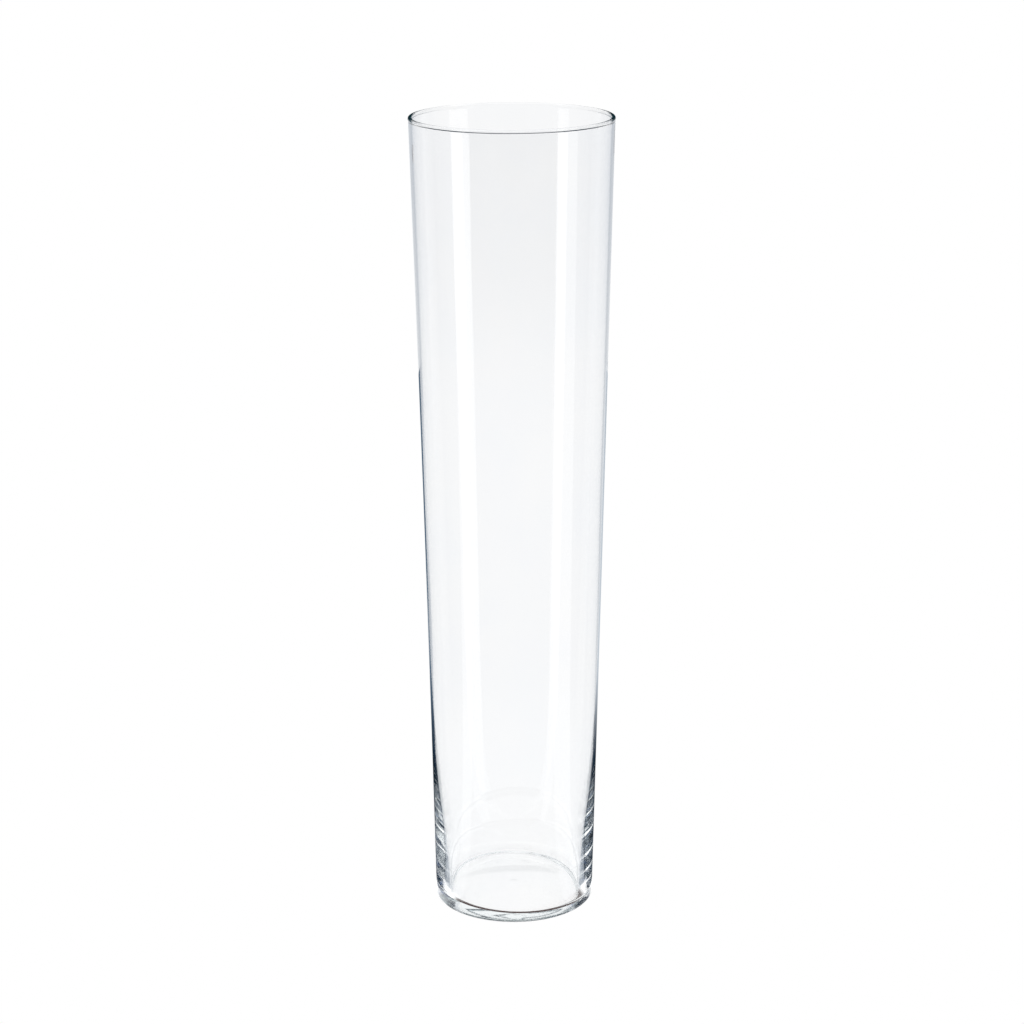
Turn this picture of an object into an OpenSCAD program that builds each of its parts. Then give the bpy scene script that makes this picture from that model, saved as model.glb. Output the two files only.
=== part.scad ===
// Tall tapered glass vase: one thin blown wall on a heavy solid foot.
// The vase stands on z = 0 with its axis on +Z. Millimetres.
// The glass is one closed outline turned about the axis. It is cut into the zones
// that a glassmaker names, and the zones meet face to face.

/* [Overall] */
// Height from the table to the top of the rim
height = 600; // [450:10:750]
// Outer diameter at the mouth
mouth_d = 148; // [135:1:180]
// Outer diameter at the foot
foot_d = 120; // [114:1:132]

/* [Wall] */
// Glass thickness of the plain wall
wall_t = 2.4; // [1.8:0.1:4]
// How much the fire-polished rim swells on each side of the wall
rim_swell = 0.3; // [0.1:0.1:1]
// Height of the rim zone
rim_h = 6; // [4:0.5:12]

/* [Heel] */
// Height above the table where the wall starts to thicken
heel_h = 122; // [90:1:150]
// Height where the heel's inner face starts to turn into the floor
turn_h = 9; // [8:0.5:14]
// Glass thickness at the start of the turn
turn_t = 8.6; // [7:0.1:9.5]
// How much the inner face moves out for each millimetre of height above the turn
heel_lean = 0.08; // [0.03:0.01:0.15]

/* [Foot] */
// Thickness of the floor
floor_t = 5; // [4:0.5:7]
// Width of the turn, from the heel's inner face to the flat floor
turn_w = 3.5; // [1:0.5:8]
// Rounding of the outer bottom edge
foot_round = 3; // [1:0.5:5]
// Radius of the hollow under the foot
punt_r = 44; // [30:1:44]
// Depth of the hollow under the foot
punt_depth = 1.2; // [0.5:0.1:3]

/* [Shear mark] */
// Diameter of the shallow dimple left on the inner floor by the shears
mark_d = 10; // [4:0.5:14]
// Depth of that dimple
mark_depth = 0.2; // [0.1:0.1:0.8]

/* [Hidden] */

// Facets of a full turn
$fn = 128;
// Steps along each curved stretch of the outline
CURVE_STEPS = 12;
// Steps from the middle to the rim of a shallow bowl
BOWL_STEPS = 10;

glass = [0.84, 0.92, 0.94, 0.45];

foot_radius = foot_d / 2;
mouth_radius = mouth_d / 2;
rim_radius = wall_t / 2 + rim_swell;
rim_z = height - rim_h;
// How much the outer radius grows for each millimetre of height
flare = (mouth_radius - foot_radius) / height;

// Outer radius at a height
function outer_r(z) = foot_radius + flare * z;
// Inner radius of the plain wall at a height
function inner_r(z) = outer_r(z) - wall_t;
// Point on a cubic Bezier curve, u from 0 to 1
function bezier(p, u) =
    pow(1 - u, 3) * p[0] + 3 * u * pow(1 - u, 2) * p[1] + 3 * pow(u, 2) * (1 - u) * p[2] + pow(u, 3) * p[3];
// Points along a cubic Bezier curve, without its first point
function bezier_points(p) = [for (i = [1:CURVE_STEPS]) bezier(p, i / CURVE_STEPS)];
// Height of a shallow bowl of this radius and depth above its rim, at a radius inside it
function bowl(radius, depth, r) = depth * (1 - pow(r / radius, 2));
// Radii from the axis out to this radius, in even steps
function radii(radius) = [for (i = [0:BOWL_STEPS]) radius * i / BOWL_STEPS];

// Radius of the inner face at the start of the turn
turn_r = outer_r(turn_h) - turn_t;
// Radius of the flat inner floor
floor_r = turn_r - turn_w;

// The wall thickens smoothly down to the turn; the pulls are shares of the heel's height
WALL_PULL = 0.40;
HEEL_PULL = 0.45;
wall_drop = (heel_h - turn_h) * WALL_PULL;
heel_rise = (heel_h - turn_h) * HEEL_PULL;
heel_curve = [
    [inner_r(heel_h), heel_h],
    [inner_r(heel_h - wall_drop), heel_h - wall_drop],
    [turn_r + heel_lean * heel_rise, turn_h + heel_rise],
    [turn_r, turn_h]
];
// Then the inner face turns in to the flat floor
TURN_PULL = 0.55;
turn_drop = (turn_h - floor_t) * TURN_PULL;
turn_curve = [
    [turn_r, turn_h],
    [turn_r - heel_lean * turn_drop, turn_h - turn_drop],
    [floor_r + turn_w * TURN_PULL, floor_t],
    [floor_r, floor_t]
];

punt_curve = [for (r = radii(punt_r)) [r, bowl(punt_r, punt_depth, r)]];
mark_curve = [for (r = radii(mark_d / 2)) [mark_d / 2 - r, floor_t - bowl(mark_d / 2, mark_depth, mark_d / 2 - r)]];

// The glass to the right of the axis, in the plane of radius and height
module glass_section() {
    difference() {
        union() {
            polygon(concat(
                punt_curve,
                [[foot_radius, 0], [outer_r(height - rim_radius), height - rim_radius],
                 [inner_r(height - rim_radius), height - rim_radius], [inner_r(heel_h), heel_h]],
                bezier_points(heel_curve),
                bezier_points(turn_curve),
                mark_curve
            ));
            translate([outer_r(height - rim_radius) - wall_t / 2, height - rim_radius]) circle(rim_radius);
        }
        foot_corner();
    }
}

// What the rounding takes off the outer bottom edge
module foot_corner() {
    difference() {
        translate([outer_r(foot_round) - foot_round, -1]) square([foot_round + 2, foot_round + 1]);
        translate([outer_r(foot_round) - foot_round, foot_round]) circle(foot_round);
    }
}

// One zone of the glass, between two radii and two heights, turned about the axis
module zone(r_low, r_high, z_low, z_high) {
    rotate_extrude() intersection() {
        glass_section();
        translate([r_low, z_low]) square([r_high - r_low, z_high - z_low]);
    }
}

// Fire-polished bead around the mouth
module rim() {
    color(glass) zone(0, mouth_radius + rim_swell, rim_z, height);
}

// Plain thin wall
module wall() {
    color(glass) zone(0, mouth_radius, heel_h, rim_z);
}

// Thick lower wall, the turn into the floor and the ring that the vase stands on
module heel() {
    color(glass) zone(floor_r, mouth_radius, 0, heel_h);
}

// Solid disc inside the heel, hollowed below and dimpled above
module floor() {
    color(glass) zone(0, floor_r, 0, floor_t);
}

rim();
wall();
heel();
floor();
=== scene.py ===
"""A tall tapered vase of clear glass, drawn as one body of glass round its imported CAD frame."""
import math
import random

import bmesh
import bpy
from mathutils import Matrix, Vector, noise


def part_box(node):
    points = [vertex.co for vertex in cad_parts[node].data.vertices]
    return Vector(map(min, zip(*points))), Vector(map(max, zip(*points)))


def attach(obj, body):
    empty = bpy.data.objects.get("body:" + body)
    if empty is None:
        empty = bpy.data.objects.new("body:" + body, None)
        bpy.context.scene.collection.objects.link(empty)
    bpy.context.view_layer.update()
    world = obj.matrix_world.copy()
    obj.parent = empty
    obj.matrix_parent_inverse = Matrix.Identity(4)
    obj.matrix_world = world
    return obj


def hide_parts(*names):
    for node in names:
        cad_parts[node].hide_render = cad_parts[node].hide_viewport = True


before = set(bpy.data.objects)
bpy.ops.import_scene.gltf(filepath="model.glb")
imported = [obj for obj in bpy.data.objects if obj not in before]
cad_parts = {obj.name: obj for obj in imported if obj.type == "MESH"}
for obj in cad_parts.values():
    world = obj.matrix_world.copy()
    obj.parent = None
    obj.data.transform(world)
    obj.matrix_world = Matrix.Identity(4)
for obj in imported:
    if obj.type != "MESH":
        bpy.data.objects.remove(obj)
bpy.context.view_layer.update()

MM = 0.001
DEG = math.pi / 180

# ---------------------------------------------------------------- sizes of the glass
# Heights come from the CAD nodes. Radii are those of the design.
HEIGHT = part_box("rim")[1].z
HEEL_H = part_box("heel")[1].z
FLOOR_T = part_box("floor")[1].z
MOUTH_R = 74 * MM
FOOT_R = 60 * MM
WALL_T = 2.4 * MM
RIM_SWELL = 0.3 * MM
RIM_NECK = 1.2 * MM
TURN_H = 9 * MM
TURN_T = 8.6 * MM
TURN_W = 3.5 * MM
HEEL_LEAN = 0.08
WALL_PULL = 0.40
HEEL_PULL = 0.45
TURN_PULL = 0.55
FOOT_ROUND = 3 * MM
PUNT_R = 44 * MM
PUNT_DEPTH = 1.2 * MM
MARK_R = 5 * MM
MARK_DEPTH = 0.2 * MM

FLARE = (MOUTH_R - FOOT_R) / HEIGHT
TURN_STEPS = 256

# How the hand-made glass strays from the design
FLOOR_TILT = 2.2 * DEG
TILT_FADE_H = 50 * MM
WAVE_OUTER = 0.10 * MM
WAVE_INNER = 0.12 * MM
BOW = 0.5 * MM
WAIST = 0.4 * MM

# Small bubbles in the foot, drawn between these limits in millimetres
SEED_COUNT = 70
SEED_R = (50, 57)
SEED_Z = (2.2, 6.4)
SEED_SIZE = (0.12, 0.34)
SEED_STRETCH = (1, 1.9)
SEED_FLATNESS = 0.8
# One long flat bubble in the wall, this far below the rim
BLISTER_AZIMUTH = 196 * DEG
BLISTER_DOWN = 24 * MM
BLISTER_SIZES = (0.35 * MM, 1.3 * MM, 7 * MM)


def outer_r(z):
    return FOOT_R + FLARE * z


def inner_r(z):
    return outer_r(z) - WALL_T


def smoothstep(value, low, high):
    u = min(max((value - low) / (high - low), 0.0), 1.0)
    return u * u * (3 - 2 * u)


# ---------------------------------------------------------------- outline of the glass
def straight(start, end, steps):
    """Points of a straight stretch, without its start."""
    return [tuple(a + (b - a) * i / steps for a, b in zip(start, end)) for i in range(1, steps + 1)]


def arc(centre, radius, start_deg, end_deg, steps):
    angles = [(start_deg + (end_deg - start_deg) * i / steps) * DEG for i in range(steps + 1)]
    return [(centre[0] + radius * math.cos(a), centre[1] + radius * math.sin(a)) for a in angles]


def bezier(points, steps):
    """Points of a cubic Bezier curve, without its start."""
    made = []
    for i in range(1, steps + 1):
        u = i / steps
        weights = ((1 - u) ** 3, 3 * u * (1 - u) ** 2, 3 * u * u * (1 - u), u**3)
        made.append(tuple(sum(w * p[k] for w, p in zip(weights, points)) for k in (0, 1)))
    return made


def outside_outline():
    """From the axis under the foot, out and up to the outer neck of the rim's bead."""
    steps = 14
    made = [(PUNT_R * i / steps, PUNT_DEPTH * (1 - (i / steps) ** 2)) for i in range(steps + 1)]
    corner = (outer_r(FOOT_ROUND) - FOOT_ROUND, FOOT_ROUND)
    made += straight(made[-1], (corner[0], 0), 4)[:-1]
    made += arc(corner, FOOT_ROUND, -90, 0, 10)
    bead = rim_bead()
    made += straight(made[-1], (bead[0][0], bead[0][1] - RIM_NECK), 120)
    return made


def rim_bead():
    """The fire-polished bead, from its outer neck over the top to its inner neck."""
    radius = WALL_T / 2 + RIM_SWELL
    centre_z = HEIGHT - radius
    dip = math.degrees(math.acos(WALL_T / 2 / radius))
    return arc((outer_r(centre_z) - WALL_T / 2, centre_z), radius, -dip, 180 + dip, 28)


def inside_outline():
    """From the inner neck of the bead down the wall and the heel, over the floor to the axis."""
    neck = rim_bead()[-1]
    made = [(neck[0], neck[1] - RIM_NECK)]
    made += straight(made[-1], (inner_r(HEEL_H), HEEL_H), 100)
    turn = (outer_r(TURN_H) - TURN_T, TURN_H)
    wall_drop = (HEEL_H - TURN_H) * WALL_PULL
    heel_rise = (HEEL_H - TURN_H) * HEEL_PULL
    made += bezier([made[-1], (inner_r(HEEL_H - wall_drop), HEEL_H - wall_drop),
                    (turn[0] + HEEL_LEAN * heel_rise, TURN_H + heel_rise), turn], 120)
    turn_drop = (TURN_H - FLOOR_T) * TURN_PULL
    edge = (turn[0] - TURN_W, FLOOR_T)
    made += bezier([turn, (turn[0] - HEEL_LEAN * turn_drop, TURN_H - turn_drop),
                    (edge[0] + TURN_W * TURN_PULL, FLOOR_T), edge], 24)
    made += straight(edge, (MARK_R, FLOOR_T), 12)
    steps = 8
    made += [(MARK_R * (1 - i / steps), FLOOR_T - MARK_DEPTH * (1 - (1 - i / steps) ** 2))
             for i in range(1, steps + 1)]
    return made


# ---------------------------------------------------------------- mesh of the glass
def wave(angle, z, lobes, stretch, seed):
    """Smooth noise from -1 to 1 round the vase, long drawn along its height."""
    place = Vector((lobes * math.cos(angle), lobes * math.sin(angle), z * stretch + seed))
    return noise.noise(place)


def glass_point(r, z, angle, inside):
    """Place of an outline point at an azimuth, with what the hand-made glass adds."""
    middle = math.sin(math.pi * min(max(z / HEIGHT, 0.0), 1.0))
    r -= WAIST * middle * smoothstep(r, 40 * MM, 50 * MM)
    if inside:
        r += WAVE_INNER * wave(angle, z, 1.5, 9, 3.0) * smoothstep(z, 20 * MM, 120 * MM)
        level = 1 - smoothstep(z, FLOOR_T, TILT_FADE_H)
        z -= math.tan(FLOOR_TILT) * r * math.cos(angle) * level
    else:
        r += WAVE_OUTER * wave(angle, z, 1.2, 6, 7.0) * smoothstep(z, 5 * MM, 80 * MM)
    return Vector((r * math.cos(angle) + BOW * middle, r * math.sin(angle), z))


def add_turned_body(bm, outline):
    """Turn an outline of (radius, height, inside) points, which starts and ends on the axis."""
    rings = []
    for r, z, inside in outline:
        if r < 1e-9:
            rings.append([bm.verts.new(glass_point(0, z, 0, inside))])
            continue
        angles = [2 * math.pi * i / TURN_STEPS for i in range(TURN_STEPS)]
        rings.append([bm.verts.new(glass_point(r, z, a, inside)) for a in angles])
    for low, high in zip(rings, rings[1:]):
        for i in range(TURN_STEPS):
            j = (i + 1) % TURN_STEPS
            if len(low) == 1:
                bm.faces.new((low[0], high[j], high[i]))
            elif len(high) == 1:
                bm.faces.new((low[i], low[j], high[0]))
            else:
                bm.faces.new((low[i], low[j], high[j], high[i]))
    bmesh.ops.recalc_face_normals(bm, faces=bm.faces)


def add_bubble(bm, centre, sizes, turn):
    """An air bubble in the glass: a closed shell whose faces look inward."""
    place = Matrix.Translation(centre) @ Matrix.Rotation(turn, 4, "Z") @ Matrix.Diagonal((*sizes, 1))
    made = bmesh.ops.create_icosphere(bm, subdivisions=3, radius=1, matrix=place)
    faces = {face for vert in made["verts"] for face in vert.link_faces}
    bmesh.ops.reverse_faces(bm, faces=list(faces))


def add_seeds(bm):
    """Small bubbles in the thick foot."""
    draw = random.Random(7)
    for _ in range(SEED_COUNT):
        angle = draw.uniform(0, 2 * math.pi)
        r = draw.uniform(*SEED_R) * MM
        z = draw.uniform(*SEED_Z) * MM
        size = draw.uniform(*SEED_SIZE) * MM
        centre = Vector((r * math.cos(angle), r * math.sin(angle), z))
        sizes = (size * draw.uniform(*SEED_STRETCH), size, size * SEED_FLATNESS)
        add_bubble(bm, centre, sizes, angle + 90 * DEG)


def add_blister(bm):
    """The long flat blister in the wall under the rim."""
    angle = BLISTER_AZIMUTH
    z = HEIGHT - BLISTER_DOWN
    r = outer_r(z) - WALL_T / 2
    centre = Vector((r * math.cos(angle), r * math.sin(angle), z))
    add_bubble(bm, centre, BLISTER_SIZES, angle)


def make_vase():
    outline = [(r, z, False) for r, z in outside_outline() + rim_bead()]
    outline += [(r, z, True) for r, z in inside_outline()]
    bm = bmesh.new()
    add_turned_body(bm, outline)
    add_seeds(bm)
    add_blister(bm)
    for face in bm.faces:
        face.smooth = True
    mesh = bpy.data.meshes.new("vase_glass")
    bm.to_mesh(mesh)
    bm.free()
    vase = bpy.data.objects.new("vase_glass", mesh)
    bpy.context.scene.collection.objects.link(vase)
    return vase


# ---------------------------------------------------------------- shader helpers
def math_node(tree, operation, *values):
    node = tree.nodes.new("ShaderNodeMath")
    node.operation = operation
    for socket, value in zip(node.inputs, values):
        if isinstance(value, (int, float)):
            socket.default_value = value
        else:
            tree.links.new(value, socket)
    return node.outputs[0]


def smooth(tree, value, low, high, out_low=0.0, out_high=1.0):
    """Value moved smoothly from out_low to out_high between low and high."""
    node = tree.nodes.new("ShaderNodeMapRange")
    node.interpolation_type = "SMOOTHSTEP"
    for name, number in (("From Min", low), ("From Max", high), ("To Min", out_low), ("To Max", out_high)):
        node.inputs[name].default_value = number
    tree.links.new(value, node.inputs["Value"])
    return node.outputs["Result"]


def mix(tree, factor, a, b):
    node = tree.nodes.new("ShaderNodeMix")
    node.data_type = "RGBA"
    tree.links.new(factor, node.inputs["Factor"])
    for socket, value in ((node.inputs[6], a), (node.inputs[7], b)):
        if isinstance(value, tuple):
            socket.default_value = (*value, 1)
        else:
            tree.links.new(value, socket)
    return node.outputs[2]


def mix_numbers(tree, factor, first, second):
    """The first number where the factor is 0 and the second where it is 1."""
    step = math_node(tree, "SUBTRACT", second, first)
    return math_node(tree, "MULTIPLY_ADD", step, factor, first)


def between(tree, value, low, high, soft):
    """1 where the value lies between low and high, with soft edges."""
    rise = smooth(tree, value, low - soft, low + soft)
    fall = smooth(tree, value, high - soft, high + soft, 1.0, 0.0)
    return math_node(tree, "MULTIPLY", rise, fall)


def azimuth(tree, vector):
    """Degrees round from the front, where y is negative. To the left is negative."""
    xyz = tree.nodes.new("ShaderNodeSeparateXYZ")
    tree.links.new(vector, xyz.inputs[0])
    front = math_node(tree, "MULTIPLY", xyz.outputs["Y"], -1.0)
    angle = math_node(tree, "ARCTAN2", xyz.outputs["X"], front)
    return math_node(tree, "DEGREES", angle)


def noise_texture(tree, vector, scale, detail=3.0):
    node = tree.nodes.new("ShaderNodeTexNoise")
    node.inputs["Scale"].default_value = scale
    node.inputs["Detail"].default_value = detail
    tree.links.new(vector, node.inputs["Vector"])
    return node.outputs["Fac"]


def new_material(name):
    material = bpy.data.materials.new(name)
    material.use_nodes = True
    return material, material.node_tree


# ---------------------------------------------------------------- the glass
GLASS_IOR = 1.52
CLOUD_SCALE = 14
CLOUD_TINT = (0.988, 0.992, 0.998)
CLEAR_TINT = (1.0, 1.0, 1.0)
SCUFF_SCALE = 900
SCUFF_ROUGHNESS = 0.22
SCUFF_HEIGHT = (0.15 * MM, 0.5 * MM)
LINE_SCALE = 90
LINE_SQUEEZE = 0.03
LINE_STRENGTH = 0.02
LINE_DEPTH = 0.1 * MM
SEA_GREEN = (0.68, 0.88, 0.91)
SEA_GREEN_DENSITY = 1.5


def glass_material():
    material, tree = new_material("clear_glass")
    shader = tree.nodes["Principled BSDF"]
    shader.inputs["Transmission Weight"].default_value = 1.0
    shader.inputs["IOR"].default_value = GLASS_IOR
    coord = tree.nodes.new("ShaderNodeTexCoord")
    place = coord.outputs["Object"]
    xyz = tree.nodes.new("ShaderNodeSeparateXYZ")
    tree.links.new(place, xyz.inputs[0])

    # Faint cloudy tint of the melt
    cloud = smooth(tree, noise_texture(tree, place, CLOUD_SCALE), 0.35, 0.65)
    tint = mix(tree, cloud, CLOUD_TINT, CLEAR_TINT)
    tree.links.new(tint, shader.inputs["Base Color"])

    # The ring that the vase stands on is scuffed
    scuffs = smooth(tree, noise_texture(tree, place, SCUFF_SCALE, 4), 0.45, 0.7, 0.0, SCUFF_ROUGHNESS)
    low = smooth(tree, xyz.outputs["Z"], *SCUFF_HEIGHT, 1.0, 0.0)
    tree.links.new(math_node(tree, "MULTIPLY", scuffs, low), shader.inputs["Roughness"])

    # Draw lines, long up the wall and fine round it
    squeeze = tree.nodes.new("ShaderNodeMapping")
    squeeze.inputs["Scale"].default_value = (1, 1, LINE_SQUEEZE)
    tree.links.new(place, squeeze.inputs["Vector"])
    bump = tree.nodes.new("ShaderNodeBump")
    bump.inputs["Strength"].default_value = LINE_STRENGTH
    bump.inputs["Distance"].default_value = LINE_DEPTH
    tree.links.new(noise_texture(tree, squeeze.outputs[0], LINE_SCALE), bump.inputs["Height"])
    tree.links.new(bump.outputs[0], shader.inputs["Normal"])

    # Thick glass seen edge on is faintly sea green
    depth = tree.nodes.new("ShaderNodeVolumeAbsorption")
    depth.inputs["Color"].default_value = (*SEA_GREEN, 1)
    depth.inputs["Density"].default_value = SEA_GREEN_DENSITY
    tree.links.new(depth.outputs[0], tree.nodes["Material Output"].inputs["Volume"])
    return material


vase = make_vase()
vase.data.materials.append(glass_material())
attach(vase, "root")
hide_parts("rim", "wall", "heel", "floor")


# ---------------------------------------------------------------- studio
# Not a plain studio. The camera sees white, and so does light that only passed through the
# glass, but for a dark part of the room and a dark disc over the mouth. What the glass mirrors
# is painted and fitted for the front view: a room that is dark in front with a strip light on
# each side, and on the floor a dark mat and a ring under the foot. The camera sees none of it.
WHITE = (1.0, 1.0, 1.0)
STRIP = (1.6, 1.6, 1.6)
PALE = (0.80, 0.815, 0.85)
DARK_ROOM = (0.17, 0.18, 0.205)
SIDE_ROOM = (0.48, 0.50, 0.55)
SLATE = (0.010, 0.024, 0.045)
NAVY = (0.03, 0.05, 0.12)
LAVENDER = (0.30, 0.38, 0.60)
OVERHEAD = (0.90, 0.91, 0.93)
OVERHEAD_FROM = (0.55, 0.7)
EDGE_TONE = (0.44, 0.48, 0.53)
SHADOW = (0.055, 0.028, 0.026)
TEAL = (0.016, 0.055, 0.070)

# Azimuths are degrees from the front, where the camera stands, and left is negative.
# An upward slope is the height of a ray's direction: 0 is level and 1 is straight up.
ROOM_EDGE = 112
SIDE_EDGE = 63
STRIP_LEFT = (-70.4, -56.0)
STRIP_RIGHT = (52.6, 77.6)
EDGE_SOFT = 0.8
ROOM_SOFT = 1.5
# Seen through the glass, the room is dark this far round from the front, between these upward slopes
DARK_SIDES = 148
DARK_SIDES_SOFT = 3
DARK_SLOPES = (0.22, 0.85)
SLOPE_SOFT = 0.05
# A dark curtain is painted behind, seen only in reflections, for the ends of the rim, with a white wall above
# this upward slope
CURTAIN_AZIMUTH = 146
CURTAIN_SOFT = 1
CURTAIN_TOP = (0.24, 0.28)
# The lit floor falls off twice: close to the vase, and where the room's tone takes over
NEAR_FLOOR = (0.22, 0.48)
LIT_FLOOR = (1.3, 3.4)
LIT_TONE = (0.76, 0.77, 0.80)
# A dark disc over the mouth, a painted shade that only light through the glass sees: lighter in the middle,
# and dark from this far out to each side
DARK_DISC_R = 85 * MM
DARK_DISC_GAP = 17 * MM
DARK_DISC_MIDDLE = (0.18, 0.19, 0.21)
DARK_DISC_ENDS = (26 * MM, 44 * MM)
# In reflections the ring that the foot stands on is a painted shadow in front, and painted light from these
# angles on
FOOT_RING = (0.044, 0.068)
RING_LIT_LEFT = -62
RING_LIT_RIGHT = 80
RING_TURN_SOFT = 5.0
# Transmission Depth is below the first off the outer skin, and below the second when the light
# was reflected inside the nearer wall
SKIN_DEPTH = 0.5
NEAR_WALL_DEPTH = 2.5
# How softly the ring and the mat begin and end along the floor, in metres
FLOOR_SOFT = 0.002
# A dark mat is painted on the floor behind the vase, for reflections only. Its edges curve in:
# the azimuth where it starts is MAT_EDGE - MAT_CURVE / distance
MAT_EDGE = (148, 158)
MAT_NARROWS = (0.33, 0.60)
MAT_CURVE = 3.7
MAT_EDGE_SOFT = 1.5
# For light off the glass's outer skin it starts at this angle, and this many degrees later per metre
SKIN_EDGE = 70.0
SKIN_SPREAD = 169.0
MAT_REACH = (0.052, 1.74)
MAT_FADES = (0.28, 0.56)
MAT_FAR_LEFT = (0.09, 0.14, 0.20)
MAT_FAR_RIGHT = (0.54, 0.59, 0.65)
MAT_MIDDLE_SOFT = 1.0
# The floor is a square this far out to each side, just below the foot
FLOOR_REACH = 8
FLOOR_GAP = 0.3 * MM
# The upper room on both sides, above this upward slope. The bands wander up and down,
# and noise of these scales per unit of slope and per degree breaks them into streaks.
SIDE_AZIMUTH = (40, 140)
SIDE_SOFT = 1.0
SIDE_BOTTOM = (0.04, 0.06)
BAND_WANDER = 0.10
WANDER_SCALE = 0.15
STREAK_SCALE = 0.8
STREAK_DETAIL = 1.5
STREAKS_UP = 30.0
STREAKS_ROUND = 0.04
LIGHT_STREAKS = (0.60, 0.62)
DARK_STREAKS = (0.44, 0.46)
# The upward slope where each band starts, and its colour
SIDE_BANDS = (
    (0.00, SLATE),
    (0.335, WHITE),
    (0.365, NAVY),
    (0.385, LAVENDER),
    (0.455, WHITE),
    (0.475, SLATE),
    (0.60, OVERHEAD),
)


def room(tree, vector, front=DARK_ROOM, side=SIDE_ROOM, behind=PALE):
    """Colour of the room by azimuth, with the strip lights."""
    angle = azimuth(tree, vector)
    colour = mix(tree, between(tree, angle, -ROOM_EDGE, ROOM_EDGE, ROOM_SOFT), behind, side)
    colour = mix(tree, between(tree, angle, -SIDE_EDGE, SIDE_EDGE, ROOM_SOFT), colour, front)
    for low, high in (STRIP_LEFT, STRIP_RIGHT):
        colour = mix(tree, between(tree, angle, low, high, EDGE_SOFT), colour, STRIP)
    return colour


def side_bands(tree, angle, height):
    """The bands of the upper room, wandering and broken up by fine streaks."""
    sheet = tree.nodes.new("ShaderNodeCombineXYZ")
    tree.links.new(math_node(tree, "MULTIPLY", height, STREAKS_UP), sheet.inputs["X"])
    tree.links.new(math_node(tree, "MULTIPLY", angle, STREAKS_ROUND), sheet.inputs["Y"])
    wander = math_node(tree, "SUBTRACT", noise_texture(tree, sheet.outputs[0], WANDER_SCALE), 0.5)
    place = math_node(tree, "MULTIPLY_ADD", wander, BAND_WANDER, height)
    ramp = tree.nodes.new("ShaderNodeValToRGB")
    ramp.color_ramp.interpolation = "CONSTANT"
    while len(ramp.color_ramp.elements) < len(SIDE_BANDS):
        ramp.color_ramp.elements.new(0.0)
    for element, (start, colour) in zip(ramp.color_ramp.elements, SIDE_BANDS):
        element.position = start
        element.color = (*colour, 1)
    tree.links.new(place, ramp.inputs["Fac"])
    fine = noise_texture(tree, sheet.outputs[0], STREAK_SCALE, STREAK_DETAIL)
    light = mix(tree, smooth(tree, fine, *LIGHT_STREAKS), ramp.outputs["Color"], WHITE)
    return mix(tree, smooth(tree, fine, *DARK_STREAKS, 1.0, 0.0), light, SLATE)


def only_in_reflections(tree, plain, mirrored):
    """White for the camera, plain through the glass, and mirrored after any reflection."""
    path = tree.nodes.new("ShaderNodeLightPath")
    bounced = math_node(tree, "GREATER_THAN", path.outputs["Glossy Depth"], 0.5)
    colour = mix(tree, bounced, plain, mirrored)
    return mix(tree, path.outputs["Is Camera Ray"], colour, WHITE)


def make_world():
    world = bpy.data.worlds.new("studio")
    bpy.context.scene.world = world
    world.use_nodes = True
    tree = world.node_tree
    tree.nodes.clear()
    coord = tree.nodes.new("ShaderNodeTexCoord")
    xyz = tree.nodes.new("ShaderNodeSeparateXYZ")
    tree.links.new(coord.outputs["Generated"], xyz.inputs[0])
    # Through the glass: a white backdrop, with the room dark where it slopes up
    angle = math_node(tree, "ABSOLUTE", azimuth(tree, coord.outputs["Generated"]))
    sides = smooth(tree, angle, DARK_SIDES - DARK_SIDES_SOFT, DARK_SIDES + DARK_SIDES_SOFT, 1.0, 0.0)
    sides = math_node(tree, "MULTIPLY", sides, between(tree, xyz.outputs["Z"], *DARK_SLOPES, SLOPE_SOFT))
    backdrop = mix(tree, sides, WHITE, SLATE)
    # In reflections: the room, a soft light above, the side bands, and the curtain behind
    overhead = smooth(tree, xyz.outputs["Z"], *OVERHEAD_FROM)
    mirrored = mix(tree, overhead, room(tree, coord.outputs["Generated"]), OVERHEAD)
    upper_side = math_node(tree, "MULTIPLY", between(tree, angle, *SIDE_AZIMUTH, SIDE_SOFT),
                           smooth(tree, xyz.outputs["Z"], *SIDE_BOTTOM))
    bands = side_bands(tree, azimuth(tree, coord.outputs["Generated"]), xyz.outputs["Z"])
    mirrored = mix(tree, upper_side, mirrored, bands)
    curtain = mix(tree, smooth(tree, xyz.outputs["Z"], *CURTAIN_TOP), TEAL, WHITE)
    behind = smooth(tree, angle, CURTAIN_AZIMUTH - CURTAIN_SOFT, CURTAIN_AZIMUTH + CURTAIN_SOFT)
    mirrored = mix(tree, behind, mirrored, curtain)
    background = tree.nodes.new("ShaderNodeBackground")
    tree.links.new(only_in_reflections(tree, backdrop, mirrored), background.inputs["Color"])
    output = tree.nodes.new("ShaderNodeOutputWorld")
    tree.links.new(background.outputs[0], output.inputs["Surface"])


def emission(tree, colour):
    tree.nodes.clear()
    shader = tree.nodes.new("ShaderNodeEmission")
    output = tree.nodes.new("ShaderNodeOutputMaterial")
    tree.links.new(shader.outputs[0], output.inputs["Surface"])
    tree.links.new(colour(tree), shader.inputs["Color"])


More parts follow.
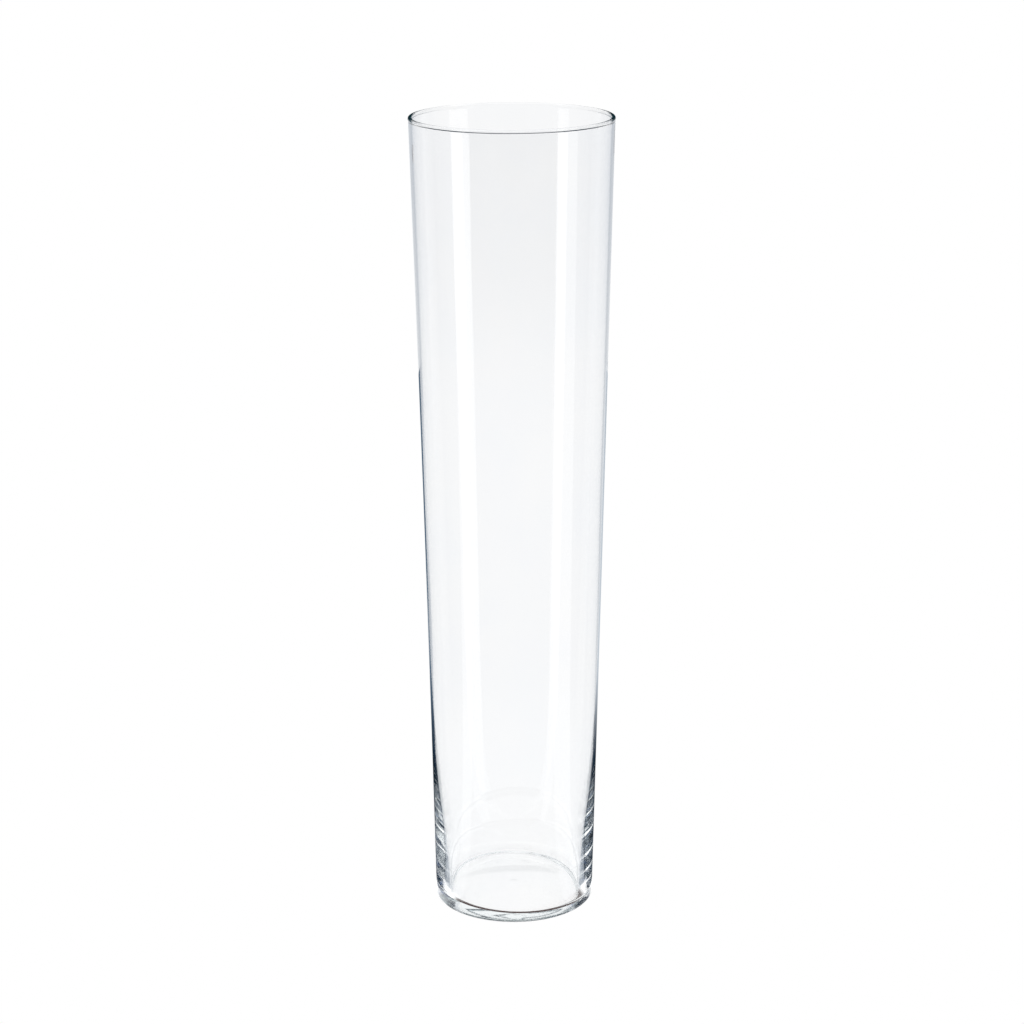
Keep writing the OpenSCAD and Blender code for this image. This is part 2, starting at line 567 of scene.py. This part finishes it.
def floor_colour(tree):
    place = tree.nodes.new("ShaderNodeNewGeometry").outputs["Position"]
    length = tree.nodes.new("ShaderNodeVectorMath")
    length.operation = "LENGTH"
    tree.links.new(place, length.inputs[0])
    radius = length.outputs["Value"]
    signed = azimuth(tree, place)
    angle = math_node(tree, "ABSOLUTE", signed)

    # The mat, which only light off the outer skin or from inside the nearer wall shows
    path = tree.nodes.new("ShaderNodeLightPath")
    inverse = math_node(tree, "DIVIDE", -MAT_CURVE, radius)
    start = math_node(tree, "ADD", inverse, smooth(tree, radius, *MAT_NARROWS, *MAT_EDGE))
    skin_start = math_node(tree, "MULTIPLY_ADD", radius, SKIN_SPREAD, SKIN_EDGE)
    skin_start = math_node(tree, "MINIMUM", start, skin_start)
    off_skin = math_node(tree, "LESS_THAN", path.outputs["Transmission Depth"], SKIN_DEPTH)
    start = mix_numbers(tree, off_skin, start, skin_start)
    past_start = smooth(tree, math_node(tree, "SUBTRACT", angle, start), -MAT_EDGE_SOFT, MAT_EDGE_SOFT)
    on_mat = math_node(tree, "MULTIPLY", past_start, between(tree, radius, *MAT_REACH, FLOOR_SOFT))
    near_wall = math_node(tree, "LESS_THAN", path.outputs["Transmission Depth"], NEAR_WALL_DEPTH)
    mat_area = math_node(tree, "MULTIPLY", on_mat, near_wall)
    far_tone = mix(tree, smooth(tree, signed, -MAT_MIDDLE_SOFT, MAT_MIDDLE_SOFT), MAT_FAR_LEFT, MAT_FAR_RIGHT)
    mat = mix(tree, smooth(tree, radius, *MAT_FADES), SLATE, far_tone)

    # The lit floor, which turns into the room's own tones far out
    lit = mix(tree, smooth(tree, radius, *NEAR_FLOOR), WHITE, LIT_TONE)
    far = smooth(tree, radius, *LIT_FLOOR)
    mirrored = room(tree, place, mix(tree, far, lit, DARK_ROOM), mix(tree, far, lit, SIDE_ROOM),
                    mix(tree, far, WHITE, PALE))
    # Light that was reflected inside the nearer wall finds the rest of the floor greyer
    internal = math_node(tree, "SUBTRACT", near_wall, off_skin)
    mirrored = mix(tree, internal, mirrored, EDGE_TONE)
    mirrored = mix(tree, mat_area, mirrored, mat)
    # The ring under the foot, seen only in reflections: a painted shadow in front and painted light beyond
    in_front = between(tree, signed, RING_LIT_LEFT, RING_LIT_RIGHT, RING_TURN_SOFT)
    ring_tone = mix(tree, in_front, STRIP, SHADOW)
    ring = between(tree, radius, *FOOT_RING, FLOOR_SOFT)
    return only_in_reflections(tree, WHITE, mix(tree, ring, mirrored, ring_tone))


def make_floor():
    mesh = bpy.data.meshes.new("studio_floor")
    bm = bmesh.new()
    bmesh.ops.create_grid(bm, x_segments=1, y_segments=1, size=FLOOR_REACH)
    bm.to_mesh(mesh)
    bm.free()
    material, tree = new_material("studio_floor")
    emission(tree, floor_colour)
    mesh.materials.append(material)
    ground = bpy.data.objects.new("studio_floor", mesh)
    ground.location.z = -FLOOR_GAP
    bpy.context.scene.collection.objects.link(ground)


def make_dark_disc():
    """A dark disc over the mouth, a painted shade seen only by light that passed through the glass
    unreflected.
    """
    mesh = bpy.data.meshes.new("dark_disc")
    bm = bmesh.new()
    bmesh.ops.create_circle(bm, cap_ends=True, segments=48, radius=DARK_DISC_R)
    bm.to_mesh(mesh)
    bm.free()
    material, tree = new_material("dark_disc")
    tree.nodes.clear()
    path = tree.nodes.new("ShaderNodeLightPath")
    straight_on = math_node(tree, "LESS_THAN", path.outputs["Glossy Depth"], 0.5)
    seen = math_node(tree, "SUBTRACT", straight_on, path.outputs["Is Camera Ray"])
    dark = tree.nodes.new("ShaderNodeEmission")
    xyz = tree.nodes.new("ShaderNodeSeparateXYZ")
    tree.links.new(tree.nodes.new("ShaderNodeNewGeometry").outputs["Position"], xyz.inputs[0])
    out_from_middle = smooth(tree, math_node(tree, "ABSOLUTE", xyz.outputs["X"]), *DARK_DISC_ENDS)
    tree.links.new(mix(tree, out_from_middle, DARK_DISC_MIDDLE, SLATE), dark.inputs["Color"])
    clear = tree.nodes.new("ShaderNodeBsdfTransparent")
    either = tree.nodes.new("ShaderNodeMixShader")
    tree.links.new(seen, either.inputs[0])
    tree.links.new(clear.outputs[0], either.inputs[1])
    tree.links.new(dark.outputs[0], either.inputs[2])
    output = tree.nodes.new("ShaderNodeOutputMaterial")
    tree.links.new(either.outputs[0], output.inputs["Surface"])
    mesh.materials.append(material)
    dark_disc = bpy.data.objects.new("dark_disc", mesh)
    dark_disc.location.z = HEIGHT + DARK_DISC_GAP
    dark_disc.visible_camera = False
    bpy.context.scene.collection.objects.link(dark_disc)


make_world()
make_floor()
make_dark_disc()

# ---------------------------------------------------------------- camera
CAMERA_AT = Vector((-0.00075, -1.9000, 0.8589))
CAMERA_DOWN = 16.234 * DEG
CAMERA_ROLL = -0.196 * DEG
# Focal length over the width of the picture
ZOOM = 2.5977

lens = bpy.data.cameras.new("camera")
lens.sensor_width = 36
lens.lens = ZOOM * lens.sensor_width
camera = bpy.data.objects.new("camera", lens)
aim = Matrix.Rotation(90 * DEG - CAMERA_DOWN, 4, "X") @ Matrix.Rotation(CAMERA_ROLL, 4, "Z")
camera.matrix_world = Matrix.Translation(CAMERA_AT) @ aim
bpy.context.scene.collection.objects.link(camera)
bpy.context.scene.camera = camera

scene = bpy.context.scene
scene.view_settings.view_transform = "Standard"
scene.view_settings.look = "None"
scene.cycles.max_bounces = 32
scene.cycles.transmission_bounces = 32
scene.cycles.glossy_bounces = 32
scene.cycles.transparent_max_bounces = 32
scene.cycles.use_denoising = True
scene.cycles.blur_glossy = 0
